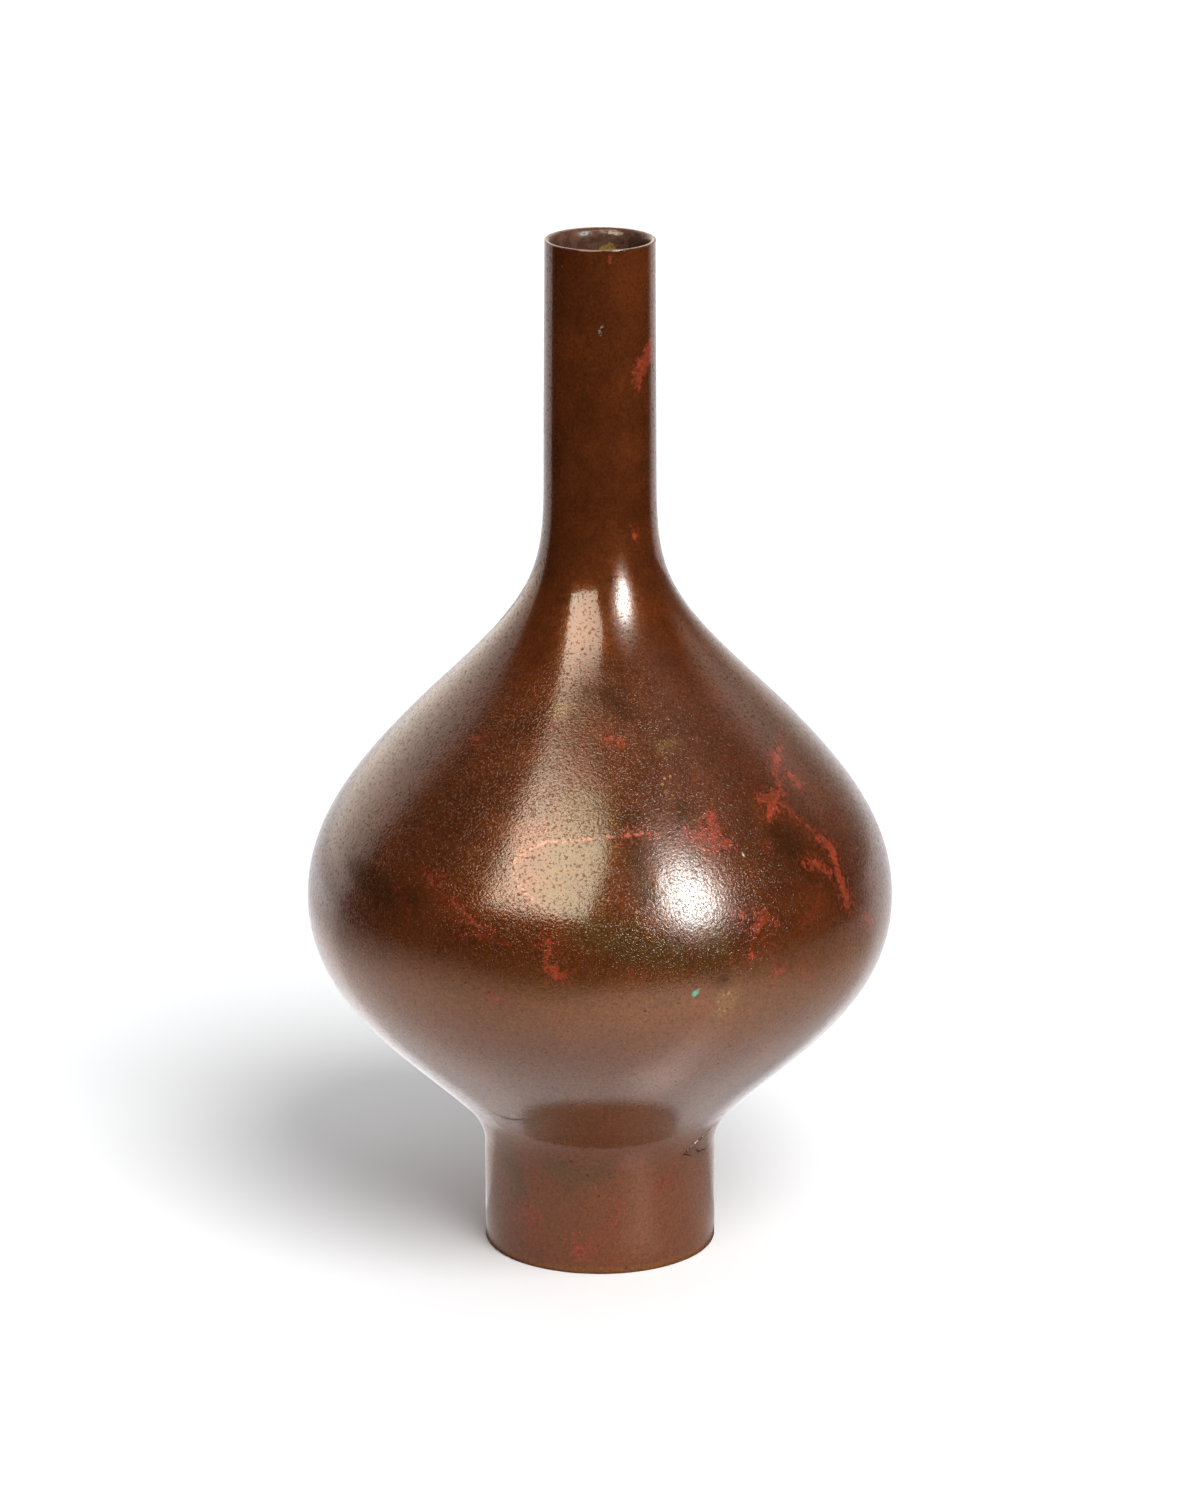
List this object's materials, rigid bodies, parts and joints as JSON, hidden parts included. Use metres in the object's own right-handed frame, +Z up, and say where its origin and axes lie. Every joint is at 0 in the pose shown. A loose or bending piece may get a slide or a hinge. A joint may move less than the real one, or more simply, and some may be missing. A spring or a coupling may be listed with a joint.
{
  "type": "bronze vase",
  "caption": "Bottle vase with a straight open neck, an onion-shaped body and an upright foot, in bronze with a mottled brown and red patina.",
  "frame": {"origin": "centre of the foot's underside, where the vase stands on a surface", "axes": "+Z up along the vase's axis, -Y towards the pictured front, +X to the right seen from the front"},
  "size_m": [0.17, 0.17, 0.3],
  "materials": {
    "patinated_bronze": "glossy brown patina with red and olive mottling",
    "base_bronze": "dull brown patina on a filed plate",
    "braze_metal": "filed flush and patinated",
    "plug_bronze": "filed flush and patinated"
  },
  "bodies": {
    "root": {"neck_tube": "patinated_bronze", "body_shell": "patinated_bronze", "flared_foot": "patinated_bronze", "base_plate": "base_bronze", "neck_braze_ring": "braze_metal", "foot_braze_ring": "braze_metal", "base_braze_fillet": "braze_metal", "upper_core_plug_1": "plug_bronze", "upper_core_plug_2": "plug_bronze", "upper_core_plug_3": "plug_bronze", "lower_core_plug_1": "plug_bronze", "lower_core_plug_2": "plug_bronze", "lower_core_plug_3": "plug_bronze"}
  },
  "joints": []
}
